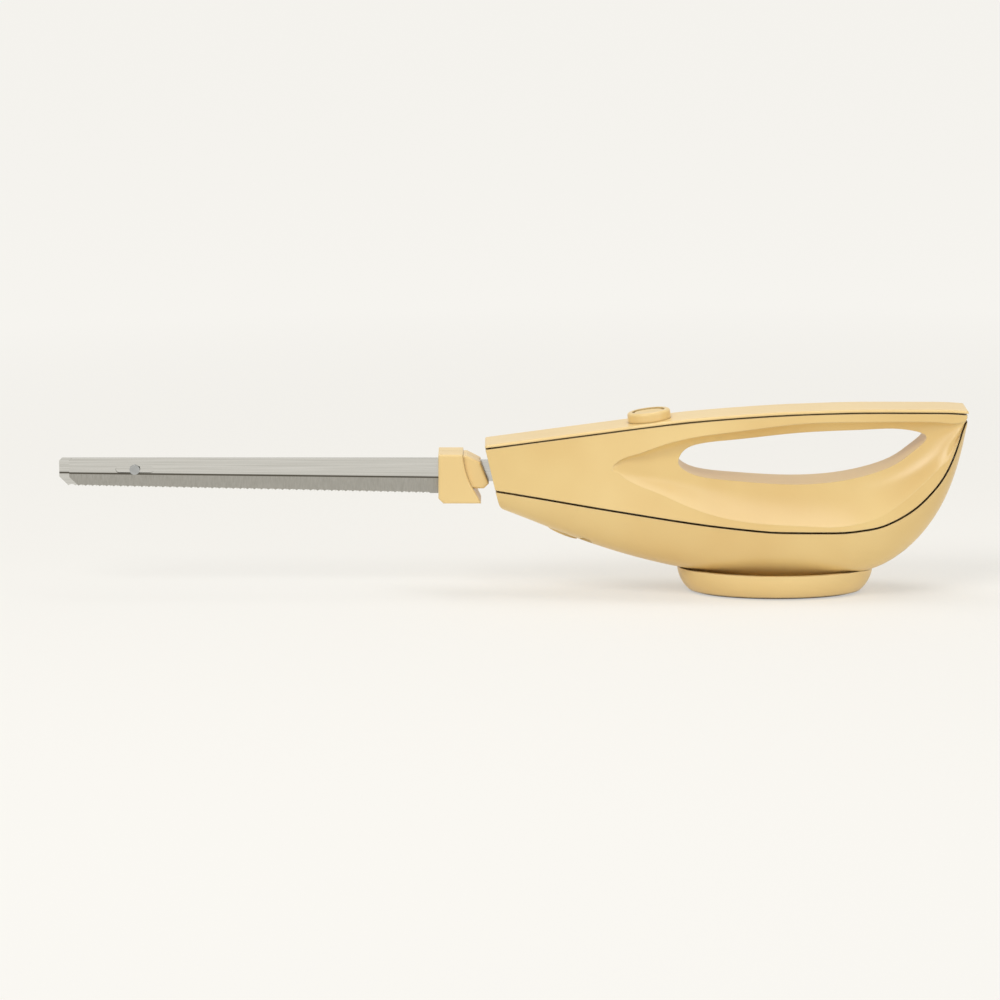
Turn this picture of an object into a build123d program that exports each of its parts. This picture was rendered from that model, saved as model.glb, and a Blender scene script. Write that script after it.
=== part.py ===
from build123d import *
import math
import os

# Electric carving knife with a finger opening through its handle, standing on its oval foot.
# Frame: +X runs from the blades to the tail, +Z is up, and the origin is the middle of the foot's underside.
# Every length is in millimetres and every angle in degrees.

# Body: outline and walls
body_length = 246.0
tail_x = 97.0
body_height = 94.0
body_width = 68.0
grip_width = 28.0
shell_wall = 2.5
seam_gap = 1.0
cover_thickness = 2.2
cover_reveal = 0.8
cover_edge_radius = 1.1
cover_rib_depth = 1.6
cover_rib_wall = 1.6
nose_lean = 13.5
nose_wall = 3.0
nose_corner_radius = 8.0
running_clearance = 0.3
seat_gap = 0.1
cut_overrun = 5.0
far_side = 400.0

# Finger opening and the dished sides of the handle
opening_front_x = -50.2
opening_length = 126.0
opening_height = 28.4
opening_base_z = 57.2
opening_wall = 2.5
dish_front_x = -84.5
dish_rear_x = 95.5
rail_side_height = 3.2
rail_neck_width = 22.0
dish_waist_width = 31.0
dish_lip = 1.2

# Foot and its rubber pad
foot_length = 88.0
foot_width = 54.0
foot_flare = 6.2
foot_height = 13.2
foot_wall = 2.6
pad_thickness = 2.0
pad_recess = 1.0
pad_margin = 3.0
foot_screw_x = 29.0

# Blades
blade_tip_x = -361.5
blade_top_z = 69.0
blade_heel_height = 18.4
blade_tip_height = 14.4
blade_thickness = 1.2
blade_gap = 0.2
bevel_height_share = 0.46
bevel_edge_thickness = 0.3
scallop_pitch = 3.6
scallop_depth = 0.7
far_tip_lead = 5.2
tip_chamfer = 4.6
tang_height = 11.0
tang_top_z = 68.0
tang_end_x = -106.0
rivet_x = -328.0
rivet_drop = 6.0
rivet_radius = 1.5
rivet_head_radius = 2.6
rivet_head_height = 0.6

# Hand guard on the blades
guard_width = 25.0
guard_top_z = 72.5
guard_base_z = 47.2
guard_front_x = -172.5
guard_thickness = 12.5
guard_flare = 9.2
guard_corner_radius = 2.5
hub_width = 19.0
hub_top_z = 71.5
hub_base_z = 54.5
hub_end_x = -146.8
hub_shoulder = 2.0
hub_drop = 3.5
hub_slant = 4.4
hub_toe = 2.5
mouth_height = 16.0
mouth_z = 62.0
mouth_depth = 11.0

# Drive: stroke, worm and wheel
blade_stroke = 8.0
wheel_x = -72.0
motor_z = 34.0
tooth_module = 1.75
wheel_teeth = 16
pressure_angle = 20.0
dedendum_share = 1.25
tooth_backlash = 0.5
worm_pitch_radius = 6.0
worm_turns = 4
worm_end_length = 1.5
wheel_width = 8.0
eccentric_radius = 7.0
eccentric_width = 4.2
axle_radius = 2.0
shaft_radius = 2.5
bore_clearance = 0.1

# Drivers that carry the blades
driver_height = 15.5
driver_base_z = 54.5
driver_front_x = -134.0
driver_rear_x = -96.0
driver_wall = 3.1
shoulder_length = 7.0
arm_thickness = 3.2
arm_gap = 0.6
arm_height = 8.4
yoke_play = 0.95
fork_leg = 3.0
fork_bridge = 4.0
fork_reach = 2.0

# Nose guide
guide_front_x = -131.0
guide_block_length = 10.0
guide_width = 23.4
guide_top_z = 73.5
guide_base_z = 50.5
bed_width = 21.6
bed_rear_x = -102.0

# Blade latch and its release button
latch_thickness = 0.5
latch_front_x = -113.0
latch_length = 14.0
latch_hook_length = 2.4
latch_hook_depth = 3.3
latch_reach = 7.0
notch_depth = 1.6
release_x = -109.0
release_length = 15.0
release_width = 12.0
release_proud = 0.8
release_flange_length = 18.0
release_flange_width = 16.0
release_flange_z = 38.4
release_flange_thickness = 1.6
prong_length = 3.4
prong_thickness = 1.4
prong_gap = 0.6
leaf_thickness = 0.5
leaf_width = 6.0
spring_facets = 5

# Gear frame and bearings
frame_front_x = -92.0
frame_rear_x = -48.0
frame_plate = 2.5
frame_base_z = 31.0
frame_shoulder_z = 46.0
frame_top_z = 62.0
frame_top_length = 20.0
frame_side_gap = 0.5
boss_plate_radius = 5.7
bush_radius = 4.2
bush_length = 4.4
bush_flange_radius = 5.2
bush_flange_length = 1.0
strap_width = 6.6

# Motor
shaft_front_x = -94.5
shaft_rear_x = 61.0
fan_x = -40.0
fan_width = 10.0
fan_radius = 17.0
fan_hub_radius = 5.5
fan_blades = 9
fan_blade_thickness = 1.2
fan_disc_thickness = 1.4
core_x = 4.0
core_length = 26.0
core_radius = 10.6
core_slots = 12
slot_depth = 4.2
slot_width = 2.6
slot_mouth = 1.2
winding_overhang = 7.0
winding_gap = 0.15
air_gap = 0.5
stator_width = 42.0
stator_height = 36.6
stator_chamfer = 9.0
stator_yoke = 4.4
pole_width = 14.0
pole_cover_angle = 112.0
shoe_thickness = 2.0
coil_thickness = 3.0
coil_height = 2.2
commutator_x = 40.0
commutator_length = 11.0
commutator_radius = 7.5
commutator_slot_width = 0.6
commutator_slot_depth = 1.0
rear_plate_x = 53.5
bolt_radius = 1.5
bolt_y = 18.8
bolt_rise = 6.6
bolt_head_radius = 2.6
bolt_head_length = 2.0

# Brushes
brush_size = 5.2
brush_length = 8.0
holder_wall = 0.8
holder_length = 13.0
holder_start = 1.4
brush_arm_thickness = 1.6
brush_arm_width = 8.0
brush_spring_radius = 1.9

# Thumb switch
switch_x = -64.7
bezel_length = 22.0
bezel_width = 21.0
bezel_rise = 5.0
bezel_rim = 2.8
button_length = 15.8
button_width = 14.8
button_rise = 4.6
button_gap = 0.5
button_edge_radius = 1.2
button_dish_depth = 0.7
button_flange = 1.4
switch_travel = 1.6
plunger_radius = 2.4
switch_base_length = 21.6
switch_base_width = 12.0
switch_base_height = 3.6
switch_base_top_z = 75.2
switch_base_shift = -2.9
hanger_radius = 1.6
hanger_spread = 4.0
switch_spring_radius = 3.6
spring_wire = 0.7
switch_spring_turns = 3
contact_thickness = 0.5
contact_width = 3.6
contact_gap = 1.2
contact_post_length = 2.0
contact_press_x = -7.4
contact_press_radius = 1.1

# Power inlet
inlet_width = 17.0
inlet_height = 13.0
inlet_z = 52.0
inlet_front_x = 66.0
inlet_wall = 1.8
inlet_back = 5.0
inlet_corner_radius = 2.5
pin_radius = 1.2
pin_spacing = 7.6
pin_length = 17.0
terminal_length = 4.0

# Screws, bosses and ribs
screw_radius = 1.5
screw_head_radius = 2.9
screw_head_height = 2.0
screw_grip = 11.0
screw_well_depth = 7.0
boss_radius = 3.8
front_screw_place = (-97.0, 12.0)
rear_screw_place = (63.0, 13.0)
rib_thickness = 2.0
rib_width = 30.0

# Cooling slots in the belly
vent_width = 2.4
vent_length = 16.0
vent_pitch = 6.0
vent_count = 4
front_vent_x = -84.0
rear_vent_x = 56.0

# Outline of the side view: share of the body's length from the nose, and share of its height
top_shares = ((0, 0.824), (0.343, 0.943), (0.431, 0.971), (0.654, 1.011), (0.80, 1.021), (0.95, 1.020),
              (1, 1.013))
seam_shares = ((0, 0.584), (0.285, 0.480), (0.506, 0.405), (0.617, 0.382), (0.728, 0.380), (0.802, 0.399),
               (0.869, 0.468), (0.936, 0.620), (0.973, 0.792), (0.989, 0.924), (0.997, 0.963))
belly_shares = ((0, 0.494), (0.091, 0.404), (0.209, 0.282), (0.358, 0.169), (0.484, 0.112), (0.606, 0.094),
                (0.728, 0.099), (0.809, 0.138), (0.877, 0.244), (0.936, 0.426), (0.969, 0.607),
                (0.9915, 0.817), (0.997, 0.904))
# Half width at the seam, as a share of half the body's width
width_shares = ((0, 0.44), (0.094, 0.53), (0.21, 0.70), (0.358, 0.875), (0.504, 0.975), (0.606, 1.0),
                (0.728, 0.985), (0.809, 0.912), (0.877, 0.809), (0.936, 0.662), (0.97, 0.54), (0.99, 0.45),
                (1, 0.42))
station_shares = (0, 0.06, 0.15, 0.26, 0.38, 0.5, 0.62, 0.72, 0.80, 0.865, 0.915, 0.95, 0.975, 0.99, 0.997)
cavity_station_shares = (0.005, 0.06, 0.15, 0.26, 0.38, 0.5, 0.62, 0.72, 0.80, 0.865, 0.915, 0.95, 0.971)
# The bilge of one cross-section: share of the half width, and share of the depth from seam to keel
bilge_shares = ((0.93, 0.38), (0.70, 0.80))
flank_slope_share = 1.05

# Finger opening's outline: share of its length from the front, and share of its height from its base
opening_shares = (
    (0.0, 0.45), (0.03, 0.64), (0.087, 0.735), (0.204, 0.80), (0.493, 0.937), (0.783, 1.0), (0.928, 0.985),
    (1.0, 0.85), (0.956, 0.63), (0.884, 0.39), (0.783, 0.205), (0.493, 0.018), (0.204, 0.085),
    (0.087, 0.152), (0.03, 0.248),
)
# Stations of a dished side: share of its length, share of its full depth, and its upper and lower edges
# as shares of the height from the seam to the rim
dish_shares = (
    (0.0, -0.05, 0.56, 0.53),
    (0.014, 0.12, 0.615, 0.47),
    (0.033, 0.27, 0.67, 0.395),
    (0.067, 0.46, 0.71, 0.30),
    (0.134, 0.75, 0.79, 0.20),
    (0.22, 0.97, 0.855, 0.12),
    (0.36, 1.0, 0.90, 0.055),
    (0.54, 1.0, 0.948, 0.04),
    (0.72, 1.0, 0.948, 0.04),
    (0.86, 0.95, 0.935, 0.06),
    (0.93, 0.70, 0.89, 0.11),
    (1.0, 0.30, 0.80, 0.24),
)
# The foot's bowl: share of the way up, and share of the flare
foot_profile_shares = ((0, 0.0), (0.28, 0.50), (0.62, 0.84), (1.0, 1.0))
# The dish's floor between those edges: share of the way up, and share of the wider waist that it follows
dish_floor_shares = ((0.86, 0.0), (0.62, 0.12), (0.36, 1.0), (0.15, 3.0))

# Sizes that follow from the ones above
nose_x = tail_x - body_length
half_stroke = blade_stroke / 2
wheel_pitch_radius = tooth_module * wheel_teeth / 2
wheel_outer_radius = wheel_pitch_radius + tooth_module
wheel_root_radius = wheel_pitch_radius - dedendum_share * tooth_module
worm_root_radius = worm_pitch_radius - dedendum_share * tooth_module
wheel_z = motor_z + worm_pitch_radius + wheel_pitch_radius
thread_lead = math.pi * tooth_module
lead_angle = math.degrees(math.atan2(thread_lead, 2 * math.pi * worm_pitch_radius))
blade_inner_y = blade_gap / 2
blade_outer_y = blade_inner_y + blade_thickness
half_gap = blade_inner_y + seat_gap / 2
pocket_y = blade_outer_y + seat_gap
driver_outer_y = pocket_y + driver_wall
arm_inner_y = wheel_width / 2 + arm_gap
arm_outer_y = arm_inner_y + arm_thickness
eccentric_outer_y = wheel_width / 2 + eccentric_width
frame_inner_y = eccentric_outer_y + frame_side_gap
frame_outer_y = frame_inner_y + frame_plate
driver_top_z = driver_base_z + driver_height
foot_base_z = pad_thickness - pad_recess
bore_radius = core_radius + air_gap
bolt_places = ((bolt_y, bolt_rise), (-bolt_y, -bolt_rise))


def smooth(shares, at):
    """Value at a share along a table of pairs, with no overshoot, and straight beyond the table's ends."""
    xs = [pair[0] for pair in shares]
    ys = [pair[1] for pair in shares]
    slopes = [(ys[i + 1] - ys[i]) / (xs[i + 1] - xs[i]) for i in range(len(xs) - 1)]
    if at <= xs[0]:
        return ys[0] + slopes[0] * (at - xs[0])
    if at >= xs[-1]:
        return ys[-1] + slopes[-1] * (at - xs[-1])
    bends = [slopes[0]]
    for before, after in zip(slopes, slopes[1:]):
        bends.append(0 if before * after <= 0 else 2 * before * after / (before + after))
    bends.append(slopes[-1])
    i = max(k for k in range(len(slopes)) if xs[k] <= at)
    span = xs[i + 1] - xs[i]
    t = (at - xs[i]) / span
    start = (2 * t**3 - 3 * t**2 + 1) * ys[i] + (t**3 - 2 * t**2 + t) * span * bends[i]
    end = (3 * t**2 - 2 * t**3) * ys[i + 1] + (t**3 - t**2) * span * bends[i + 1]
    return start + end


def share_at(x):
    return (x - nose_x) / body_length


def rim_z(x):
    """Top of the housing, where the flanks end and the cover lies."""
    return body_height * smooth(top_shares, share_at(x)) - cover_thickness


def top_z(x):
    return rim_z(x) + cover_thickness


def seam_z(x):
    return body_height * smooth(seam_shares, share_at(x))


def belly_z(x):
    return body_height * smooth(belly_shares, share_at(x))


def seam_half_width(x):
    return body_width / 2 * smooth(width_shares, share_at(x))


def slope(line, x):
    step = body_length / 500
    return (line(x + step) - line(x - step)) / (2 * step)


def steepness(line, x):
    """How far a vertical move has to go for a unit move square to the line."""
    return math.hypot(1, slope(line, x))


def flank_y(x, z):
    """Half width of the plain flank at a height between the seam and the rim."""
    share = (z - seam_z(x)) / (rim_z(x) - seam_z(x))
    return seam_half_width(x) + share * (grip_width / 2 - seam_half_width(x))


# Simple solids placed by their limits


def block(x0, x1, y0, y1, z0, z1):
    """A box from one corner to the other."""
    size = (abs(x1 - x0), abs(y1 - y0), abs(z1 - z0))
    return Location(((x0 + x1) / 2, (y0 + y1) / 2, (z0 + z1) / 2)) * Box(*size)


def wide_block(x0, x1, half_width, z0, z1):
    return block(x0, x1, -half_width, half_width, z0, z1)


def rod_x(radius, x0, x1, y=0.0, z=0.0):
    return Location(((x0 + x1) / 2, y, z), (0, 90, 0)) * Cylinder(radius, abs(x1 - x0))


def rod_y(radius, y0, y1, x=0.0, z=0.0):
    return Location((x, (y0 + y1) / 2, z), (90, 0, 0)) * Cylinder(radius, abs(y1 - y0))


def rod_z(radius, z0, z1, x=0.0, y=0.0):
    return Location((x, y, (z0 + z1) / 2)) * Cylinder(radius, abs(z1 - z0))


def oval_rod(length, width, z0, z1, x=0.0):
    return Location((x, 0, z0)) * extrude(Ellipse(length / 2, width / 2), amount=z1 - z0)


def side_plate(edges, half_width):
    """A plate with an outline in the side view, given as edges, reaching the same way to both sides."""
    return extrude(make_face(Wire(edges)), amount=half_width, dir=(0, 1, 0), both=True)


def side_slab(points, y0, y1):
    """A slab with a straight-edged outline in the side view, from one side to the other."""
    outline = Polyline(*[(x, y0, z) for x, z in points], close=True)
    return extrude(make_face(outline), amount=y1 - y0, dir=(0, 1, 0))


def at_side(x, z):
    return Vector(x, 0, z)


def across(shape):
    """The mirror image on the other side of the middle plane."""
    return mirror(shape, about=Plane.XZ)


def both_sides(shape):
    return shape + across(shape)


def separate(*shapes):
    """Several solids kept apart in one node."""
    solids = []
    for shape in shapes:
        solids.extend(shape.solids())
    return Compound(children=solids)


def square_coil(radius, wire, height, turns):
    """A spring of square wire standing on the origin, from a helix."""
    path = Helix(pitch=(height - wire) / turns, height=height - wire, radius=radius)
    profile = Plane(origin=path @ 0, x_dir=(1, 0, 0), z_dir=path % 0) * Rectangle(wire, wire)
    return Location((0, 0, wire / 2)) * sweep(profile, path=path, is_frenet=True)


# Body form and its cutters


def body_section(x, inset, lift):
    """One cross-section of the body: top, two flanks, and the round belly below the seam."""
    keel = belly_z(x) + inset * steepness(belly_z, x)
    seam = max(seam_z(x), keel + shell_wall / 2)
    half = seam_half_width(x) - inset * flank_slope_share
    crown = grip_width / 2 - inset
    rim = rim_z(x) + lift
    depth = seam - keel

    def at(y, z):
        return Vector(x, y, z)

    right = [at(half * wide, seam - depth * deep) for wide, deep in bilge_shares]
    left = [at(-half * wide, seam - depth * deep) for wide, deep in reversed(bilge_shares)]
    belly = Spline(at(half, seam), *right, at(0, keel), *left, at(-half, seam))
    return Wire([
        Line(at(-crown, rim), at(crown, rim)),
        Line(at(crown, rim), at(half, seam)),
        belly,
        Line(at(-half, seam), at(-crown, rim)),
    ])


def body_form(inset, lift, shares):
    sections = [body_section(nose_x + body_length * share, inset, lift) for share in shares]
    return Part() + Solid.make_loft(sections)


def nose_keep(inset):
    """Everything behind the leaning front of the nose, with its rounded lower corner."""
    lean = math.tan(math.radians(nose_lean))
    nose_top = top_z(nose_x)
    high = nose_top + body_height
    drop = slope(belly_z, nose_x + body_length / 30)

    def front_x(z):
        return nose_x + inset + (nose_top - z) * lean

    corner_z = (belly_z(nose_x) + drop * (front_x(nose_top) - nose_x + nose_top * lean)) / (1 + drop * lean)
    corner = (front_x(corner_z), corner_z)
    run = body_length / 2
    end = (corner[0] + run, corner_z + drop * run - cut_overrun)
    keep = Polyline(
        (front_x(high), high), corner, end, (far_side, end[1] - cut_overrun), (far_side, high), close=True
    )
    face = Plane.XZ * make_face(keep)
    rounded = fillet(face.vertices().sort_by_distance(at_side(*corner))[0], nose_corner_radius)
    return extrude(rounded, amount=far_side / 2, both=True)


def above_line(line, shift, half_width):
    """Everything above a line of the side view, with the line moved square to itself by a shift."""
    count = 40
    run = body_length + 2 * cut_overrun
    xs = [nose_x - cut_overrun + run * i / count for i in range(count + 1)]
    points = [at_side(x, line(x) + shift * steepness(line, x)) for x in xs]
    high = top_z(tail_x) + body_height
    edges = [
        Spline(*points),
        Line(points[-1], at_side(points[-1].X, high)),
        Line(at_side(points[-1].X, high), at_side(points[0].X, high)),
        Line(at_side(points[0].X, high), points[0]),
    ]
    return side_plate(edges, half_width)


def opening_tool(grow):
    """The finger opening as a plug right through the handle, with its outline moved outward."""
    points = [
        (opening_front_x + opening_length * along, opening_base_z + opening_height * up)
        for along, up in opening_shares
    ]
    moved = []
    for i, point in enumerate(points):
        before = points[i - 1]
        after = points[(i + 1) % len(points)]
        run = Vector(after[0] - before[0], 0, after[1] - before[1]).normalized()
        moved.append(at_side(point[0] - run.Z * grow, point[1] + run.X * grow))
    return side_plate([Spline(*moved, periodic=True)], body_width)


def dish_section(x, depth, high_share, low_share, grow):
    rise = rim_z(x) - seam_z(x)
    high = min(seam_z(x) + rise * high_share, rim_z(x) - rail_side_height) + grow
    low = seam_z(x) + rise * low_share - grow

    def at(y, z):
        return Vector(x, -y, z)

    floor = []
    for up, waist in dish_floor_shares:
        z = low + (high - low) * up
        full = rail_neck_width / 2 * (1 - waist) + dish_waist_width / 2 * waist
        skin = flank_y(x, z)
        floor.append(at(skin + (min(full, skin) - skin) * depth - grow, z))
    top_point = at(flank_y(x, high) + dish_lip - grow * flank_slope_share, high)
    low_point = at(flank_y(x, low) + dish_lip - grow * flank_slope_share, low)
    return Wire([
        Spline(top_point, *floor, low_point),
        Line(low_point, at(body_width, low)),
        Line(at(body_width, low), at(body_width, high)),
        Line(at(body_width, high), top_point),
    ])


def dish_tool(grow):
    """The hollow scooped out of each side of the handle, as one cutter for both sides."""
    length = dish_rear_x - dish_front_x
    sections = [
        dish_section(dish_front_x + length * along, depth, high, low, grow)
        for along, depth, high, low in dish_shares
    ]
    return both_sides(Part() + Solid.make_loft(sections))


# Housing


def screw_places():
    return [(x, side * y) for x, y in (front_screw_place, rear_screw_place) for side in (-1, 1)]


def screw_head_z(x):
    return belly_z(x) + screw_well_depth


def screw_tip_z(x):
    return seam_z(x) + screw_grip


def cut_housing(shell):
    """The holes that go through the shell, whichever half they fall in."""
    for x, y in screw_places():
        shell -= rod_z(screw_head_radius + running_clearance, -cut_overrun, screw_head_z(x), x, y)
        shell -= rod_z(screw_radius + seat_gap, 0, screw_tip_z(x) + seat_gap, x, y)
    room = 2 * running_clearance
    mouth = Box(2 * mouth_depth, hub_width + 2 * room, mouth_height + 2 * room)
    mouth = fillet(mouth.edges().filter_by(Axis.X), 2 * nose_wall / 3)
    shell -= Location((nose_x, 0, mouth_z)) * mouth
    return shell


def upper_housing():
    """The upper shell: flanks with their dished sides, the finger opening's wall, and the hollow rail."""
    outer = body_form(0, 0, station_shares) & nose_keep(0)
    above = above_line(seam_z, seam_gap / 2, body_width)
    skin = (outer & above) - dish_tool(0) - opening_tool(0)
    cavity = body_form(shell_wall, cover_thickness, cavity_station_shares) & nose_keep(nose_wall)
    hollow = (cavity & above) - dish_tool(opening_wall) - opening_tool(opening_wall)
    shell = skin - hollow
    core = (outer & above) - dish_tool(opening_wall / 2)
    for x, y in screw_places():
        post_top = screw_tip_z(x) + screw_radius
        reach = math.copysign(flank_y(x, post_top) - shell_wall / 2, y)
        web = block(x - rib_thickness / 2, x + rib_thickness / 2, y, reach, 0, post_top)
        shell += (rod_z(boss_radius, 0, post_top, x, y) + web) & core
    return cut_housing(shell)


def lower_housing():
    """The lower shell: a hull with ribs under the motor, bosses, cooling slots and the inlet's cut-out."""
    outer = body_form(0, 0, station_shares) & nose_keep(0)
    above = above_line(seam_z, -seam_gap / 2, body_width)
    cavity = body_form(shell_wall, cover_thickness, cavity_station_shares) & nose_keep(nose_wall)
    shell = (outer - above) - cavity
    core = body_form(shell_wall / 2, 0, station_shares) & nose_keep(nose_wall / 2)
    core -= above

    frame_ribs = (frame_front_x + 2 * rib_thickness, frame_rear_x - frame_plate - 2 * rib_thickness)
    stack_ribs = (core_x - core_length / 4, core_x + core_length / 4)
    ribs = [(x, frame_base_z) for x in frame_ribs] + [(x, motor_z - stator_height / 2) for x in stack_ribs]
    clear = worm_pitch_radius + tooth_module + 2 * running_clearance
    for x, top in ribs:
        rib = wide_block(x, x + rib_thickness, rib_width / 2, 0, top - seat_gap)
        shell += (rib & core) - rod_x(clear, x - cut_overrun, x + cut_overrun, z=motor_z)
    for x, y in screw_places():
        shell += rod_z(boss_radius, 0, screw_tip_z(x), x, y) & core
    for side in (-1, 1):
        x = side * foot_screw_x
        boss = rod_z(boss_radius, 0, belly_z(x) + shell_wall + screw_head_radius, x) & core
        shell += boss
        shell -= rod_z(screw_radius + seat_gap, 0, foot_screw_tip_z(x) + seat_gap, x)
    shell = cut_housing(shell)
    room = 2 * running_clearance
    shell -= oval_rod(release_length + room, release_width + room, 0, release_flange_z, release_x)
    shell -= inlet_envelope(seat_gap)
    for start in (front_vent_x, rear_vent_x):
        for i in range(vent_count):
            x = start + i * vent_pitch
            slot = SlotOverall(vent_length, vent_width, rotation=90)
            shell -= Location((x, 0, 0)) * extrude(slot, amount=belly_z(x) + 2 * shell_wall)
    return shell


def top_cover():
    """The flat strip along the top, with a locating rib below and two hangers for the switch."""
    half = grip_width / 2
    strip = above_line(rim_z, cover_reveal, half) - above_line(top_z, 0, half + cut_overrun)
    strip = strip & nose_keep(0)
    strip &= block(nose_x - cut_overrun, tail_x, -half, half, 0, top_z(tail_x) + cut_overrun)
    upper = [edge for edge in strip.edges() if edge.center().Z > rim_z(edge.center().X) + cover_thickness / 2]
    strip = fillet(upper, cover_edge_radius)

    rib_half = half - shell_wall - running_clearance
    rib_start = nose_x + 2 * nose_wall + running_clearance
    rib_end = nose_x + body_length * cavity_station_shares[-1] - running_clearance

    def rib_bottom(x):
        return rim_z(x) - cover_rib_depth

    rib = above_line(rib_bottom, 0, rib_half)
    rib -= above_line(rim_z, cover_reveal + seat_gap, rib_half + cut_overrun)
    rib &= block(rib_start, rib_end, -rib_half, rib_half, 0, top_z(tail_x))
    inside = rib_half - cover_rib_wall
    rib -= block(rib_start + cover_rib_wall, rib_end - cover_rib_wall, -inside, inside, 0, top_z(tail_x))
    cover = strip + rib
    for y in (-hanger_spread, hanger_spread):
        x = hanger_x()
        cover += rod_z(hanger_radius, switch_base_top_z + seat_gap, rim_z(x) + cover_thickness / 2, x, y)
    return cover - on_cover(oval_rod(
        button_length + 2 * button_gap, button_width + 2 * button_gap, -cut_overrun, cut_overrun
    ))


# Foot


def foot_screw_tip_z(x):
    return belly_z(x) + shell_wall + screw_head_height


def foot_loft(inset):
    """The oval form of the foot, wider towards its top, moved inward by an inset."""
    rise = foot_height - foot_base_z
    sections = []
    for up_share, flare_share in foot_profile_shares:
        z = foot_base_z + rise * up_share
        length = foot_length + 2 * foot_flare * flare_share - 2 * inset
        width = foot_width + 2 * foot_flare * flare_share - 2 * inset
        sections.append(Location((0, 0, z)) * Ellipse(length / 2, width / 2).edges()[0])
    return Part() + Solid.make_loft([Wire([edge]) for edge in sections])


def foot():
    floor_z = pad_thickness + foot_wall
    shell = foot_loft(0)
    hollow = foot_loft(foot_wall) & wide_block(-foot_length, foot_length, foot_length, floor_z, foot_height)
    shell -= hollow
    for side in (-1, 1):
        post = rod_z(boss_radius + foot_wall / 2, floor_z - foot_wall / 2, foot_height, side * foot_screw_x)
        shell += post
    shell -= body_form(-seat_gap, 0, station_shares)
    rim = 2 * (pad_margin - seat_gap)
    shell -= oval_rod(foot_length - rim, foot_width - rim, 0, pad_thickness)
    for side in (-1, 1):
        x = side * foot_screw_x
        shell -= rod_z(screw_head_radius + seat_gap, 0, pad_thickness + screw_head_height + seat_gap, x)
        shell -= rod_z(screw_radius + seat_gap, 0, foot_height, x)
    return shell


def foot_pad():
    pad = oval_rod(foot_length - 2 * pad_margin, foot_width - 2 * pad_margin, 0, pad_thickness - seat_gap)
    lower = pad.edges().group_by(Axis.Z)[0]
    return chamfer(lower, pad_recess / 4)


def slotted_screw(x, y, head_z, tip_z):
    """A cheese-head screw pointing up, with its head below the head height given."""
    screw = rod_z(screw_head_radius, head_z - screw_head_height, head_z, x, y)
    screw += rod_z(screw_radius, head_z - seat_gap, tip_z, x, y)
    width = screw_head_radius / 3
    length = screw_head_radius + seat_gap
    slot = block(
        x - length, x + length, y - width / 2, y + width / 2,
        head_z - screw_head_height - seat_gap, head_z - screw_head_height / 2,
    )
    return screw - slot


def housing_screws():
    return separate(*[slotted_screw(x, y, screw_head_z(x), screw_tip_z(x)) for x, y in screw_places()])


def foot_screws():
    head_z = pad_thickness + screw_head_height
    places = [side * foot_screw_x for side in (-1, 1)]
    return separate(*[slotted_screw(x, 0, head_z, foot_screw_tip_z(x)) for x in places])


# Thumb switch, in its own frame on the sloping cover


def hanger_x():
    """Place of the two posts under the cover that carry the front end of the switch."""
    return switch_x + switch_base_shift - switch_base_length / 2 + hanger_radius


def on_cover(shape):
    """Place a shape drawn about the origin on the cover, tilted with its slope."""
    tilt = math.degrees(math.atan(slope(top_z, switch_x)))
    return Location((switch_x, 0, top_z(switch_x)), (0, -tilt, 0)) * shape


def switch_bezel():
    ring = oval_rod(bezel_length, bezel_width, seat_gap / 2, bezel_rise)
    ring = fillet(ring.edges().group_by(Axis.Z)[-1], bezel_rim / 2)
    room = 2 * button_gap
    return on_cover(ring - oval_rod(button_length + room, button_width + room, 0, bezel_rise + cut_overrun))


def height_on_cover(along, z):
    """Height above the cover in its tilted frame, at a place along it, of a level in the knife's frame."""
    tilt = math.atan(slope(top_z, switch_x))
    return (z - top_z(switch_x) - along * math.sin(tilt)) / math.cos(tilt)


def switch_button():
    """The thumb button with its flange, the stem inside its spring, and the pin for the contacts."""
    flange_top = -cover_thickness - seat_gap
    flange_base = flange_top - button_flange
    cap = oval_rod(button_length, button_width, flange_base, button_rise)
    cap = fillet(cap.edges().group_by(Axis.Z)[-1], button_edge_radius)
    dish_radius = (button_length / 2) ** 2 / (2 * button_dish_depth)
    cap -= Location((0, 0, button_rise - button_dish_depth + dish_radius)) * Sphere(dish_radius)
    brim = 2 * button_flange
    cap += oval_rod(button_length + brim, button_width + brim, flange_base, flange_top)
    stem_end = height_on_cover(0, switch_base_top_z) + switch_travel + 2 * running_clearance
    cap += rod_z(plunger_radius, stem_end, flange_base + seat_gap)
    pin_end = height_on_cover(contact_press_x, upper_leaf_z() + contact_thickness) + running_clearance
    cap += rod_z(contact_press_radius, pin_end, flange_base + seat_gap, contact_press_x)
    return on_cover(cap)


def switch_spring():
    height = top_z(switch_x) - cover_thickness - button_flange - switch_base_top_z - 4 * seat_gap
    coil = square_coil(switch_spring_radius, spring_wire, height - running_clearance, switch_spring_turns)
    tilt = math.degrees(math.atan(slope(top_z, switch_x)))
    base = switch_base_top_z + running_clearance / 2 + switch_spring_radius * math.tan(math.radians(tilt))
    shift = (top_z(switch_x) - base) * math.tan(math.radians(tilt))
    return Location((switch_x + shift, 0, base), (0, -tilt, 0)) * coil


def switch_base():
    x = switch_x + switch_base_shift
    base = wide_block(
        x - switch_base_length / 2, x + switch_base_length / 2, switch_base_width / 2,
        switch_base_top_z - switch_base_height, switch_base_top_z,
    )
    base = chamfer(base.edges().filter_by(Axis.Z), switch_base_height / 4)
    front = x - switch_base_length / 2
    post_base = switch_base_top_z - seat_gap
    post_top = upper_leaf_z() - seat_gap
    return base + wide_block(front, front + contact_post_length, contact_width / 2, post_base, post_top)


def upper_leaf_z():
    return switch_base_top_z + seat_gap + contact_thickness + contact_gap


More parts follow.
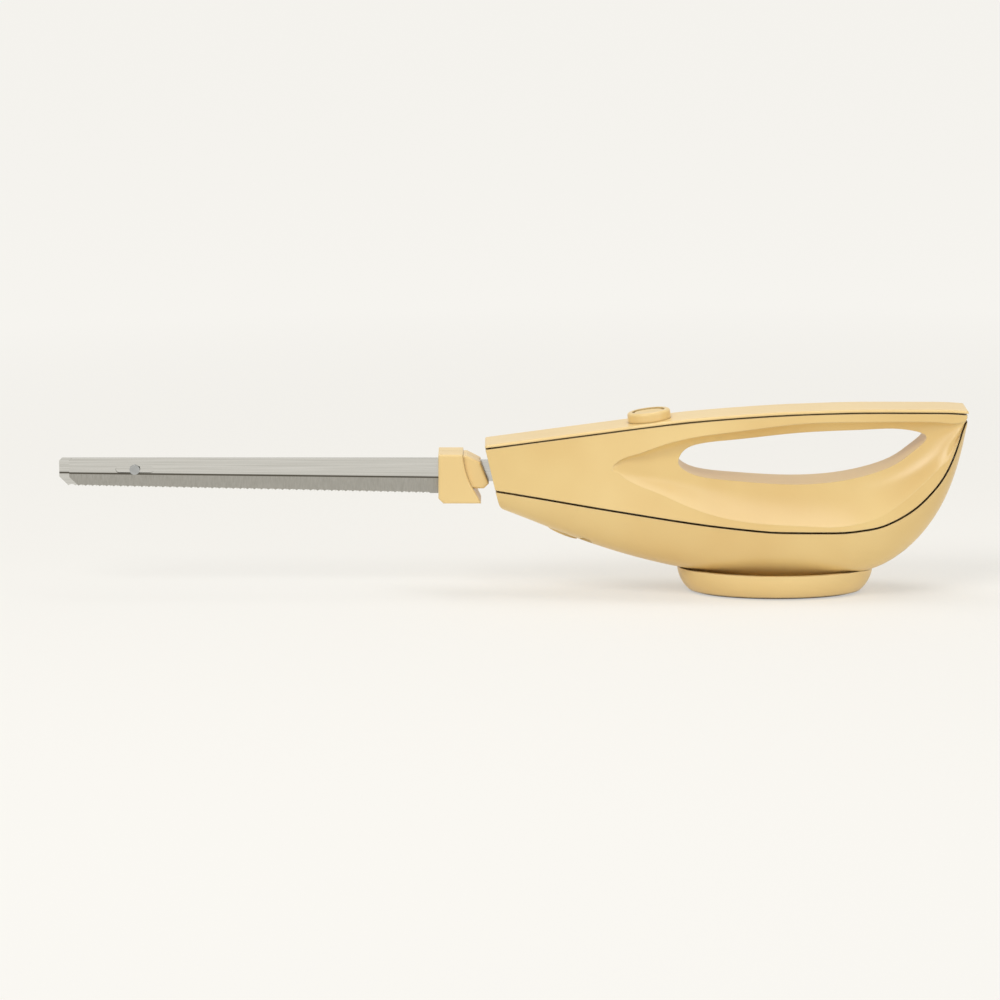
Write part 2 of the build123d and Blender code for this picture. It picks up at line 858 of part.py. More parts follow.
def switch_contacts():
    """Two brass leaves: a fixed one on the base, and one above it that the button's pin presses down."""
    front = switch_x + switch_base_shift - switch_base_length / 2
    rear = switch_x - switch_spring_radius - spring_wire - contact_gap
    low_z = switch_base_top_z + seat_gap
    high_z = upper_leaf_z()
    low_front = front + contact_post_length + running_clearance
    fixed = wide_block(low_front, rear, contact_width / 2, low_z, low_z + contact_thickness)
    return separate(fixed, wide_block(front, rear, contact_width / 2, high_z, high_z + contact_thickness))


# Blades and hand guard; the left side is the one towards -Y


def blade_edge_z(x):
    """Lower edge of a blade, which tapers towards its tip."""
    share = (x - guard_front_x) / (blade_tip_x - guard_front_x)
    return blade_top_z - blade_heel_height + share * (blade_heel_height - blade_tip_height)


def bevel_z(x):
    return blade_edge_z(x) + bevel_height_share * (blade_top_z - blade_edge_z(x))


def blade_blank(tip_x):
    """The right-hand blade's outline with its scalloped edge, tang and latch notch, as thick as the steel."""
    count = round((guard_front_x - tip_x - tip_chamfer - scallop_pitch) / scallop_pitch)
    xs = [tip_x + tip_chamfer + i * scallop_pitch for i in range(count + 1)]
    low = [(x, blade_edge_z(x)) for x in xs]
    tang_low_z = tang_top_z - tang_height
    back = Polyline(
        (guard_front_x, low[-1][1]), (guard_front_x, tang_low_z), (tang_end_x, tang_low_z),
        (tang_end_x, tang_top_z), (guard_front_x, tang_top_z), (guard_front_x, blade_top_z),
        (tip_x + tip_chamfer / 3, blade_top_z), (tip_x, blade_top_z - tip_chamfer / 3),
        (tip_x, low[0][1] + tip_chamfer), low[0],
    )
    edges = list(back.edges())
    for start, end in zip(low, low[1:]):
        middle = ((start[0] + end[0]) / 2, (start[1] + end[1]) / 2 + scallop_depth)
        edges.append(ThreePointArc(start, middle, end).edge())
    edges.append(Line(low[-1], (guard_front_x, low[-1][1])).edge())
    face = Plane.XZ * make_face(Wire(edges))
    return Location((0, blade_inner_y, 0)) * extrude(face, amount=blade_thickness, dir=(0, 1, 0))


def bevel_cutter(tip_x):
    """The wedge ground off the outer side, from the bevel line down to the thin edge."""
    low = blade_tip_height * bevel_height_share

    def corners(x):
        edge_y = blade_inner_y + bevel_edge_thickness
        return Wire(Polyline(
            (x, blade_outer_y + seat_gap / 4, bevel_z(x)),
            (x, edge_y, blade_edge_z(x)),
            (x, edge_y, blade_edge_z(x) - low),
            (x, blade_outer_y + cut_overrun, blade_edge_z(x) - low),
            (x, blade_outer_y + cut_overrun, bevel_z(x)),
            close=True,
        ).edges())

    ends = [corners(tip_x - cut_overrun), corners(guard_front_x + seat_gap / 4)]
    return Part() + Solid.make_loft(ends, ruled=True)


def finished_blade(tip_x):
    blade = blade_blank(tip_x) - bevel_cutter(tip_x)
    notch_start = latch_front_x - running_clearance
    notch_end = latch_front_x + latch_hook_length + running_clearance
    notch_z = tang_top_z - notch_depth
    return blade - block(notch_start, notch_end, 0, pocket_y, notch_z, tang_top_z + cut_overrun)


def blade_right():
    blade = finished_blade(blade_tip_x - far_tip_lead)
    return blade - rod_y(rivet_radius + seat_gap, 0, pocket_y, rivet_x, blade_top_z - rivet_drop)


def blade_left():
    """Cut with a long slot, so that the rivet of the other blade can run to and fro in it."""
    z = blade_top_z - rivet_drop
    radius = rivet_radius + running_clearance
    slot = rod_y(radius, 0, pocket_y, rivet_x - blade_stroke, z)
    slot += rod_y(radius, 0, pocket_y, rivet_x + blade_stroke, z)
    slot += block(rivet_x - blade_stroke, rivet_x + blade_stroke, 0, pocket_y, z - radius, z + radius)
    return across(finished_blade(blade_tip_x) - slot)


def blade_rivet():
    z = blade_top_z - rivet_drop
    pin = rod_y(rivet_radius, -blade_outer_y - bore_clearance, blade_outer_y, rivet_x, z)
    head_y = -blade_outer_y - bore_clearance
    return pin + rod_y(rivet_head_radius, head_y - rivet_head_height, head_y, rivet_x, z)


def guard_right():
    """Half of the hand guard, moulded on its blade: a flared plate, and a hub that enters the nose."""
    back_x = guard_front_x + guard_thickness
    foot_x = back_x + guard_flare
    toe_x = guard_front_x + guard_corner_radius
    toe_z = guard_base_z + guard_corner_radius
    drop = guard_base_z - guard_top_z
    side = [
        Line((guard_front_x, toe_z), (guard_front_x, guard_top_z)),
        Line((guard_front_x, guard_top_z), (back_x, guard_top_z)),
        Spline(
            (back_x, guard_top_z),
            (back_x + guard_flare / 2, (guard_top_z + 2 * guard_base_z) / 3),
            (foot_x, guard_base_z),
            tangents=[(guard_flare / 6, drop), (guard_flare, drop)],
        ),
        Line((foot_x, guard_base_z), (toe_x, guard_base_z)),
        Line((toe_x, guard_base_z), (guard_front_x, toe_z)),
    ]
    plate = extrude(Plane.XZ * make_face(Wire(side)), amount=guard_width / 2, dir=(0, 1, 0))
    outer = [edge for edge in plate.edges() if edge.center().Y > guard_width / 2 - seat_gap]
    plate = fillet(outer, guard_corner_radius / 2)
    hub = side_slab([
        (back_x - cut_overrun, hub_base_z), (back_x - cut_overrun, hub_top_z),
        (back_x + hub_shoulder, hub_top_z), (hub_end_x - hub_slant, hub_top_z - hub_drop),
        (hub_end_x, hub_base_z + hub_toe), (hub_end_x - hub_toe, hub_base_z),
    ], 0, hub_width / 2)
    outer = [edge for edge in hub.edges() if edge.center().Y > hub_width / 2 - seat_gap]
    guard = plate + fillet(outer, guard_corner_radius / 2)
    guard -= wide_block(guard_front_x - cut_overrun, hub_end_x + cut_overrun, half_gap, 0, body_height)
    return guard - block(
        guard_front_x - cut_overrun, hub_end_x + cut_overrun, 0, pocket_y,
        tang_top_z - tang_height - seat_gap, tang_top_z + seat_gap,
    )


# Drivers, latch and guide in the nose


def driver_right():
    """A bar with a pocket for the tang, and an arm whose forked yoke straddles its eccentric."""
    bar = block(driver_front_x, driver_rear_x, half_gap, driver_outer_y, driver_base_z, driver_top_z)
    shoulder_x = driver_rear_x - shoulder_length
    bar += block(shoulder_x, driver_rear_x, half_gap, arm_outer_y, driver_base_z, driver_top_z)
    reach = eccentric_radius + yoke_play
    bridge_z = wheel_z + half_stroke + eccentric_radius + running_clearance
    bridge_top = bridge_z + fork_bridge
    leg_z = wheel_z - half_stroke - fork_reach
    front = wheel_x - reach - fork_leg
    rear = wheel_x + reach + fork_leg
    arm = side_slab([
        (shoulder_x, bridge_top - arm_height), (front, bridge_top - arm_height), (front, leg_z),
        (wheel_x - reach, leg_z), (wheel_x - reach, bridge_z), (wheel_x + reach, bridge_z),
        (wheel_x + reach, leg_z), (rear, leg_z), (rear, bridge_top), (shoulder_x, bridge_top),
    ], arm_inner_y, arm_outer_y)
    driver = bar + arm
    driver -= block(
        driver_front_x - cut_overrun, tang_end_x + 2 * running_clearance, 0, pocket_y,
        tang_top_z - tang_height - running_clearance, tang_top_z + running_clearance,
    )
    window_start = latch_front_x - 2 * running_clearance
    window_end = latch_front_x + latch_hook_length + 2 * running_clearance
    return driver - block(window_start, window_end, 0, pocket_y, tang_top_z, driver_top_z + cut_overrun)


def latch_clip_right():
    """A spring-steel strip riveted on the driver; its hook drops into the notch of the tang."""
    z0 = driver_top_z + seat_gap / 2
    rear = latch_front_x + latch_length
    top = z0 + latch_thickness
    inner = 2 * half_gap
    strip = block(latch_front_x, rear, inner, driver_outer_y - seat_gap, z0, top)
    strip += block(latch_front_x, rear - latch_length / 2, inner, latch_reach, z0, top)
    hook_end = latch_front_x + latch_hook_length
    strip += block(latch_front_x, hook_end, inner, blade_outer_y - seat_gap, z0 - latch_hook_depth, top)
    y = (pocket_y + driver_outer_y) / 2
    return strip + rod_z(screw_radius / 2, z0, z0 + 2 * latch_thickness, rear - latch_hook_length, y)


def nose_guide():
    """The block that the drivers slide through, and the bed behind it that they slide on."""
    guide_rear = guide_front_x + guide_block_length
    bed_z = driver_base_z - running_clearance
    shape = wide_block(guide_front_x, guide_rear, guide_width / 2, guide_base_z, guide_top_z)
    shape = chamfer(shape.edges().filter_by(Axis.X).group_by(Axis.Z)[-1], guide_block_length / 5)
    shape -= wide_block(
        guide_front_x - cut_overrun, guide_rear + cut_overrun, driver_outer_y + running_clearance,
        bed_z, driver_top_z + running_clearance,
    )
    shape += wide_block(guide_rear - seat_gap, bed_rear_x, bed_width / 2, guide_base_z, bed_z)
    slot_half = prong_length / 2 + running_clearance
    inner = driver_outer_y + prong_gap - running_clearance
    slot = block(
        prong_x() - slot_half, prong_x() + slot_half, inner, inner + prong_thickness + 2 * running_clearance,
        0, body_height,
    )
    return shape - both_sides(slot)


def prong_x():
    return latch_front_x + prong_length / 2 + running_clearance * 2


def release_button():
    """The push button under the nose, with two prongs that lift the latch clips."""
    cap = oval_rod(release_length, release_width, 0, release_flange_z, release_x)
    cap -= Location((0, 0, -release_proud)) * outside_belly()
    base = release_flange_z
    top = base + release_flange_thickness
    plate = Location((release_x, 0, 0)) * wide_block(
        -release_flange_length / 2, release_flange_length / 2, release_flange_width / 2, base, top
    )
    inner = driver_outer_y + prong_gap
    prong = block(
        prong_x() - prong_length / 2, prong_x() + prong_length / 2, inner, inner + prong_thickness,
        top - seat_gap, driver_top_z - seat_gap,
    )
    return cap + plate + both_sides(prong)


def outside_belly():
    """A thick slab that fills everything below the hull around the release button."""
    reach = release_length
    count = 6
    xs = [release_x - reach + 2 * reach * i / count for i in range(count + 1)]
    points = [at_side(x, belly_z(x)) for x in xs]
    low = -body_height
    edges = [
        Spline(*points),
        Line(points[-1], at_side(points[-1].X, low)),
        Line(at_side(points[-1].X, low), at_side(points[0].X, low)),
        Line(at_side(points[0].X, low), points[0]),
    ]
    return side_plate(edges, release_width)


def release_spring():
    """A bowed strip between the button's plate and the underside of the bed."""
    low = release_flange_z + release_flange_thickness + seat_gap
    rise = guide_base_z - seat_gap - leaf_thickness - low
    half = release_flange_length / 2 - running_clearance
    places = [i / spring_facets for i in range(-spring_facets, spring_facets + 1)]
    under = [(release_x + half * place, low + rise * (1 - place**2)) for place in places]
    over = [(x, z + leaf_thickness) for x, z in reversed(under)]
    return side_slab(under + over, -leaf_width / 2, leaf_width / 2)


# Worm drive


def tooth_half_angle(radius):
    """Half the angle that an involute tooth fills at a radius, in radians."""
    pressure = math.radians(pressure_angle)
    base = wheel_pitch_radius * math.cos(pressure)
    pitch_half = math.pi / (2 * wheel_teeth) - tooth_backlash / (4 * wheel_pitch_radius)
    if radius <= base:
        return pitch_half + math.tan(pressure) - pressure
    local = math.acos(base / radius)
    return pitch_half + (math.tan(pressure) - pressure) - (math.tan(local) - local)


def wheel_tooth():
    """One tooth below the wheel's axle, slanted to lie in the worm's thread."""
    inner = wheel_root_radius - tooth_module / 2
    radii = [inner] + [
        wheel_root_radius + (wheel_outer_radius - wheel_root_radius) * step / 4 for step in range(5)
    ]
    left = [(-r * math.sin(tooth_half_angle(r)), -r * math.cos(tooth_half_angle(r))) for r in radii]
    right = [(-x, z) for x, z in reversed(left)]
    half = wheel_width / 2 / math.cos(math.radians(lead_angle)) + tooth_module
    slab = side_slab(left + right, -half, half)
    return Rotation(0, 0, lead_angle) * slab


def worm_gear():
    """The wheel that the worm turns, in bronze, with its axle bore."""
    half = wheel_width / 2
    wheel = rod_y(wheel_root_radius, -half, half)
    rim = rod_y(wheel_outer_radius + cut_overrun, -half, half)
    for tooth in range(wheel_teeth):
        wheel += (Rotation(0, 360 / wheel_teeth * tooth, 0) * wheel_tooth()) & rim
    wheel -= rod_y(axle_radius + seat_gap / 4, -half - cut_overrun, half + cut_overrun)
    return Location((wheel_x, 0, wheel_z)) * wheel


def eccentric_right():
    """The round cam beside the wheel; the left one stands half a turn away from it."""
    inner = wheel_width / 2
    disc = rod_y(eccentric_radius, inner, inner + eccentric_width, wheel_x, wheel_z - half_stroke)
    return disc - rod_y(axle_radius + seat_gap / 4, 0, body_width, wheel_x, wheel_z)


def eccentric_left():
    shift = Location((0, 0, blade_stroke))
    inner = wheel_width / 2
    disc = shift * rod_y(eccentric_radius, -inner, -inner - eccentric_width, wheel_x, wheel_z - half_stroke)
    return disc - rod_y(axle_radius + seat_gap / 4, 0, -body_width, wheel_x, wheel_z)


def gear_axle():
    return rod_y(axle_radius, -frame_outer_y, frame_outer_y, wheel_x, wheel_z)


def worm_sleeve():
    """The worm: one thread of trapezoid section round a sleeve on the motor shaft."""
    length = worm_turns * thread_lead
    tangent = math.tan(math.radians(pressure_angle))
    pitch_half = thread_lead / 4 - tooth_backlash / 4
    root_half = pitch_half + dedendum_share * tooth_module * tangent
    tip_half = pitch_half - tooth_module * tangent
    root = worm_root_radius
    outer = worm_pitch_radius + tooth_module
    path = Helix(pitch=thread_lead, height=length, radius=root)
    sunk = worm_root_radius - shaft_radius
    profile = Plane(origin=path @ 0, x_dir=(1, 0, 0), z_dir=path % 0) * make_face(Polyline(
        (-sunk / 2, -root_half), (outer - root, -tip_half), (outer - root, tip_half), (-sunk / 2, root_half),
        close=True,
    ))
    thread = sweep(profile, path=path, is_frenet=True)
    sleeve = Location((0, 0, length / 2)) * Cylinder(root, length + 2 * worm_end_length + thread_lead)
    worm = sleeve + thread
    worm -= Location((0, 0, length / 2)) * Cylinder(shaft_radius + seat_gap / 4, length * 2)
    start = wheel_x - length / 2
    return Location((start, 0, motor_z), (0, 90, 0)) * worm


# Motor


def around_motor(shape):
    return Location((0, 0, motor_z)) * shape


def armature_shaft():
    shaft = rod_x(shaft_radius, shaft_front_x, shaft_rear_x, z=motor_z)
    return chamfer(shaft.edges().filter_by(GeomType.CIRCLE), shaft_radius / 5)


def on_shaft(shape):
    """Bore a part for the shaft it is pressed on."""
    return around_motor(shape - rod_x(shaft_radius + seat_gap / 4, -far_side, far_side))


def slot_tool(clearance):
    """The armature's slots, each with a narrow mouth and a round bottom, less a clearance all round."""
    tool = Part()
    start = core_x - core_length / 2 - cut_overrun
    end = core_x + core_length / 2 + cut_overrun
    floor = core_radius - slot_depth
    for i in range(core_slots):
        slot = rod_x(slot_width / 2 - clearance, start, end, z=floor + slot_width / 2)
        if not clearance:
            slot += wide_block(start, end, slot_mouth / 2, floor + slot_width / 2, core_radius + cut_overrun)
        tool += Rotation(360 / core_slots * i, 0, 0) * slot
    return tool


def armature_core():
    core = rod_x(core_radius, core_x - core_length / 2, core_x + core_length / 2)
    return on_shaft(core - slot_tool(0))


def armature_windings():
    """Copper in the slots, joined by a rounded bundle at each end of the core."""
    half = core_length / 2
    bars = slot_tool(winding_gap) & rod_x(
        core_radius, core_x - half - winding_overhang / 2, core_x + half + winding_overhang / 2
    )
    bundle_radius = core_radius - slot_depth / 4
    wound = bars
    for side in (-1, 1):
        inner = core_x + side * (half + winding_gap)
        outer = core_x + side * (half + winding_overhang)
        bundle = rod_x(bundle_radius, inner, outer)
        wound += fillet(bundle.edges().filter_by(GeomType.CIRCLE), winding_overhang / 3)
    return on_shaft(wound)


def commutator():
    start = commutator_x - commutator_length / 2
    drum = rod_x(commutator_radius, start, start + commutator_length)
    for i in range(core_slots):
        groove = wide_block(
            start + commutator_slot_depth, start + commutator_length + cut_overrun, commutator_slot_width / 2,
            commutator_radius - commutator_slot_depth, commutator_radius + cut_overrun,
        )
        drum -= Rotation(360 / core_slots * i, 0, 0) * groove
    return on_shaft(drum)


def fan():
    """A pressed cooling fan: a back disc, a hub and straight blades."""
    start = fan_x - fan_width / 2
    wheel = rod_x(fan_hub_radius, start, start + fan_width)
    wheel += rod_x(fan_radius, start + fan_width - fan_disc_thickness, start + fan_width)
    for i in range(fan_blades):
        vane = wide_block(
            start + fan_disc_thickness, start + fan_width, fan_blade_thickness / 2,
            fan_hub_radius - fan_blade_thickness, fan_radius - fan_blade_thickness,
        )
        wheel += Rotation(360 / fan_blades * i, 0, 0) * vane
    return on_shaft(wheel)


def stator_outline(width, height, cut):
    face = Rectangle(height, width)
    return chamfer(face.vertices(), cut)


def stator():
    """The laminated iron stack with an upper and a lower pole, each ending in a curved shoe."""
    start = core_x - core_length / 2
    outline = stator_outline(stator_height, stator_width, stator_chamfer)
    frame = extrude(Plane.YZ * outline, amount=core_length)
    inner_cut = stator_chamfer - stator_yoke / 2
    window = extrude(
        Plane.YZ * stator_outline(stator_height - 2 * stator_yoke, stator_width - 2 * stator_yoke, inner_cut),
        amount=core_length,
    )
    shoe_radius = bore_radius + shoe_thickness
    poles = wide_block(0, core_length, pole_width / 2, -stator_height / 2 + stator_yoke / 2,
                       stator_height / 2 - stator_yoke / 2)
    ring = rod_x(shoe_radius, 0, core_length)
    reach = shoe_radius * math.sin(math.radians(pole_cover_angle / 2))
    poles += ring & wide_block(0, core_length, reach, -stator_height, stator_height)
    inner_gap = shoe_radius * math.cos(math.radians(pole_cover_angle / 2))
    poles -= wide_block(0, core_length, stator_width, -inner_gap, inner_gap)
    stack = frame - window + poles
    stack -= rod_x(bore_radius, -cut_overrun, core_length + cut_overrun)
    for y, rise in bolt_places:
        stack -= rod_x(bolt_radius + seat_gap, -cut_overrun, core_length + cut_overrun, y, rise)
    return Location((start, 0, motor_z)) * stack


def field_coils():
    """One wound ring round each pole."""
    inner_x = core_length / 2 + seat_gap * 2
    inner_y = pole_width / 2 + seat_gap * 2
    shoe_radius = bore_radius + shoe_thickness
    base = math.sqrt(shoe_radius**2 - (pole_width / 2) ** 2) + seat_gap
    outer = RectangleRounded(
        2 * (inner_x + coil_thickness), 2 * (inner_y + coil_thickness), coil_thickness
    )
    ring = extrude(outer - Rectangle(2 * inner_x, 2 * inner_y), amount=coil_height)
    upper = Location((core_x, 0, motor_z + base)) * ring
    lower = Location((core_x, 0, motor_z - base), (180, 0, 0)) * ring
    return separate(upper, lower)


def bolt_strap(x0, x1):
    """A slanted strap across the motor that carries both long bolts."""
    angle = math.degrees(math.atan2(bolt_rise, bolt_y))
    outline = SlotCenterToCenter(2 * math.hypot(bolt_y, bolt_rise), strap_width, rotation=angle)
    return Location((x0, 0, 0)) * extrude(Plane.YZ * outline, amount=x1 - x0)


def bearing_bush(x0, direction):
    """A flanged bronze bush, its flange on the side that the direction points to."""
    start = min(x0, x0 + direction * bush_length)
    bush = rod_x(bush_radius, start, start + bush_length)
    flange_x = x0 + direction * bush_length
    bush += rod_x(bush_flange_radius, *sorted((flange_x, flange_x - direction * bush_flange_length)))
    return around_motor(bush - rod_x(shaft_radius + bore_clearance, -far_side, far_side))


def bearings():
    return separate(
        bearing_bush(frame_front_x - seat_gap, 1),
        bearing_bush(frame_rear_x + seat_gap, -1),
        bearing_bush(rear_plate_x - seat_gap, 1),
    )


def gear_frame():
    """The metal frame round the worm and wheel: two cheeks, a front plate, and a rear plate with a strap."""
    half_top = frame_top_length / 2
    cheek = side_slab([
        (frame_front_x, frame_base_z), (frame_rear_x, frame_base_z), (frame_rear_x, frame_shoulder_z),
        (wheel_x + half_top, frame_top_z), (wheel_x - half_top, frame_top_z),
        (frame_front_x, frame_shoulder_z),
    ], frame_inner_y, frame_outer_y)
    frame = both_sides(cheek)
    plates = ((frame_front_x, frame_front_x + frame_plate), (frame_rear_x - frame_plate, frame_rear_x))
    for x0, x1 in plates:
        frame += wide_block(x0, x1, frame_outer_y, frame_base_z, frame_shoulder_z)
        frame += rod_x(boss_plate_radius, x0, x1, z=motor_z)
    frame += around_motor(bolt_strap(*plates[1]))
    frame -= rod_x(bush_radius + seat_gap, frame_front_x - cut_overrun, frame_rear_x + cut_overrun, z=motor_z)
    frame -= rod_y(axle_radius + bore_clearance, -body_width, body_width, wheel_x, wheel_z)
    for y, rise in bolt_places:
        frame -= rod_x(bolt_radius + seat_gap, plates[1][0] - cut_overrun, frame_rear_x + cut_overrun, y,
                       motor_z + rise)
    return frame


def rear_bracket():
    """The plate behind the commutator, with its bush, the strap and two shelves for the brush holders."""
    x0 = rear_plate_x
    x1 = rear_plate_x + frame_plate
    plate = rod_x(boss_plate_radius + frame_plate, x0, x1) + bolt_strap(x0, x1)
    shelf_z = -brush_size / 2 - holder_wall - seat_gap
    start_y = commutator_radius + holder_start
    shelf = block(
        commutator_x - brush_arm_width / 2, x1, start_y + holder_wall, start_y + holder_length - holder_wall,
        shelf_z - brush_arm_thickness, shelf_z,
    )
    lug = block(x0, x1, 0, start_y + holder_length - holder_wall, shelf_z - brush_arm_thickness, 0)
    plate += both_sides(shelf + lug)
    plate -= rod_x(bush_radius + seat_gap, x0 - cut_overrun, x1 + cut_overrun)
    for y, rise in bolt_places:
        plate -= rod_x(bolt_radius + seat_gap, x0 - cut_overrun, x1 + cut_overrun, y, rise)
    return around_motor(plate)


def through_bolts():
    """Two long bolts that tie the frame, the stator and the rear bracket together."""
    bolts = []
    start = frame_rear_x - frame_plate - seat_gap
    end = rear_plate_x + frame_plate + seat_gap
    for y, rise in bolt_places:
        bolt = rod_x(bolt_radius, start, end + bolt_head_length, y, rise)
        bolt += rod_x(bolt_head_radius, end, end + bolt_head_length, y, rise)
        bolt += rod_x(bolt_head_radius, start - bolt_head_length, start, y, rise)
        bolts.append(around_motor(bolt))
    return separate(*bolts)


def brush_holders():
    """Two brass tubes of square section that guide the carbon brushes."""
    half = brush_size / 2 + seat_gap + holder_wall
    start = commutator_radius + holder_start
    tube = block(commutator_x - half, commutator_x + half, start, start + holder_length, -half, half)
    room = brush_size / 2 + seat_gap
    tube -= block(
        commutator_x - room, commutator_x + room, 0, start + holder_length - holder_wall, -room, room
    )
    return around_motor(separate(tube, across(tube)))


def carbon_brushes():
    half = brush_size / 2
    start = commutator_radius - commutator_slot_depth
    end = commutator_radius + brush_length
    brush = block(commutator_x - half, commutator_x + half, start, end, -half, half)
    brush -= rod_x(commutator_radius + bore_clearance, 0, far_side)
    return around_motor(separate(brush, across(brush)))


def brush_springs():
    """Springs that press the brushes on the commutator, between each brush and the end of its holder."""
    start = commutator_radius + brush_length + seat_gap
    height = commutator_radius + holder_start + holder_length - holder_wall - seat_gap - start
    coil = square_coil(brush_spring_radius, spring_wire / 2, height, switch_spring_turns)
    placed = Location((commutator_x, start, 0), (-90, 0, 0)) * coil
    return around_motor(separate(placed, across(placed)))


# Power inlet


def inlet_envelope(grow):
    """The block of the inlet, and with a growth the cut-out for it in the shell."""
    half_y = inlet_width / 2 + grow
    half_z = inlet_height / 2 + grow
    end = tail_x + cut_overrun
    shape = wide_block(inlet_front_x - grow, end, half_y, inlet_z - half_z, inlet_z + half_z)
    return fillet(shape.edges().filter_by(Axis.X), inlet_corner_radius)


def inlet_socket():
    """The moulded socket in the stern, open to the rear for the lead's connector."""
    shroud = inlet_envelope(0)
    room_y = inlet_width / 2 - inlet_wall
    room_z = inlet_height / 2 - inlet_wall
    recess = wide_block(
        inlet_front_x + inlet_back, tail_x + 2 * cut_overrun, room_y, inlet_z - room_z, inlet_z + room_z
    )
    shroud -= fillet(recess.edges().filter_by(Axis.X), inlet_corner_radius - inlet_wall / 2)
    shroud &= body_form(0, 0, station_shares)
    for side in (-1, 1):
        y = side * pin_spacing / 2
        shroud -= rod_x(pin_radius + seat_gap / 4, inlet_front_x - cut_overrun, tail_x, y, inlet_z)
    return shroud


def inlet_pins():
    start = inlet_front_x - terminal_length
    pins = []
    for side in (-1, 1):
        pin = rod_x(pin_radius, start, start + pin_length, side * pin_spacing / 2, inlet_z)
        tip = pin.edges().filter_by(GeomType.CIRCLE).group_by(Axis.X)[-1]
        pins.append(fillet(tip, pin_radius / 2))
    return separate(*pins)


nodes = {
    "upper_housing": upper_housing(),
    "lower_housing": lower_housing(),
    "top_cover": top_cover(),
    "foot": foot(),
    "foot_pad": foot_pad(),
    "foot_screws": foot_screws(),
    "housing_screws": housing_screws(),
    "switch_bezel": switch_bezel(),
    "switch_button": switch_button(),
    "switch_spring": switch_spring(),
    "switch_base": switch_base(),
    "switch_contacts": switch_contacts(),
    "blade_left": blade_left(),
    "blade_right": blade_right(),
    "blade_rivet": blade_rivet(),
    "guard_left": across(guard_right()),
    "guard_right": guard_right(),
    "driver_left": across(driver_right()),
    "driver_right": driver_right(),
    "latch_clip_left": across(latch_clip_right()),
    "latch_clip_right": latch_clip_right(),
    "nose_guide": nose_guide(),
    "release_button": release_button(),
    "release_spring": release_spring(),
    "worm_gear": worm_gear(),
    "eccentric_left": eccentric_left(),
    "eccentric_right": eccentric_right(),
    "gear_axle": gear_axle(),
    "gear_frame": gear_frame(),
    "worm": worm_sleeve(),
    "armature_shaft": armature_shaft(),
    "armature_core": armature_core(),
    "armature_windings": armature_windings(),
    "commutator": commutator(),
    "cooling_fan": fan(),
    "stator": stator(),
    "field_coils": field_coils(),
    "bearings": bearings(),
    "rear_bracket": rear_bracket(),
    "through_bolts": through_bolts(),
    "brush_holders": brush_holders(),
    "carbon_brushes": carbon_brushes(),
    "brush_springs": brush_springs(),
    "inlet_socket": inlet_socket(),
    "inlet_pins": inlet_pins(),
}

os.makedirs("parts", exist_ok=True)
for name, shape in nodes.items():
    export_step(shape, f"parts/{name}.step")
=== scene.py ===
import math

import bmesh
import bpy
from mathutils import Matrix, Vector


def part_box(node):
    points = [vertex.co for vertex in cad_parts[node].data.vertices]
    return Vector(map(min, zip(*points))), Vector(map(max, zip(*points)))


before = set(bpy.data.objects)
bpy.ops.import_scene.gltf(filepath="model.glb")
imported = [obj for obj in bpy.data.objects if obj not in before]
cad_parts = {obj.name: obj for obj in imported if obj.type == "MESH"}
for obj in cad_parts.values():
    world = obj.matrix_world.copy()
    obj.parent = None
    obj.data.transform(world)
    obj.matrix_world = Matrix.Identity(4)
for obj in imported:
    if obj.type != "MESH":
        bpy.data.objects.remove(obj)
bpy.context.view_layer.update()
print("frame loaded")


# Small helpers

def mm(length):
    return length / 1000.0


def perLength(sizeMm):
    return 1000.0 / sizeMm  # texture scale for a pattern whose spots are that many millimetres apart


def grindAlong(lengthMm, acrossMm, axis):
    scale = [perLength(acrossMm)] * 3
    scale["XYZ".index(axis)] = perLength(lengthMm)
    return Vector(scale)


def linearFromHex(code):
    channels = [int(code[i:i + 2], 16) / 255.0 for i in (1, 3, 5)]
    curved = [c / 12.92 if c <= 0.04045 else ((c + 0.055) / 1.055) ** 2.4 for c in channels]
    return (*curved, 1.0)


def grey(level):
    return (level, level, level, 1.0)


def addNode(tree, kind, settings=None, links=None, stops=None):
    node = tree.nodes.new(kind)
    for key, value in (settings or {}).items():
        if isinstance(key, int) or key in node.inputs:
            node.inputs[key].default_value = value
        else:
            setattr(node, key, value)
    for key, (source, output) in (links or {}).items():
        tree.links.new(source.outputs[output], node.inputs[key])
    if stops:
        for element, (place, colour) in zip(node.color_ramp.elements, stops):
            element.position = place
            element.color = colour
    return node


def newMaterial(name):
    material = bpy.data.materials.new(name)
    material.use_nodes = True
    material.node_tree.nodes.clear()
    return material, material.node_tree


# A Mix node's numbers and colours share their names, so its sockets go by their places
mixShare = 0
numberA = 2
numberB = 3
colourA = 6
colourB = 7
mixedNumber = 0
mixedColour = 2


# Plastics

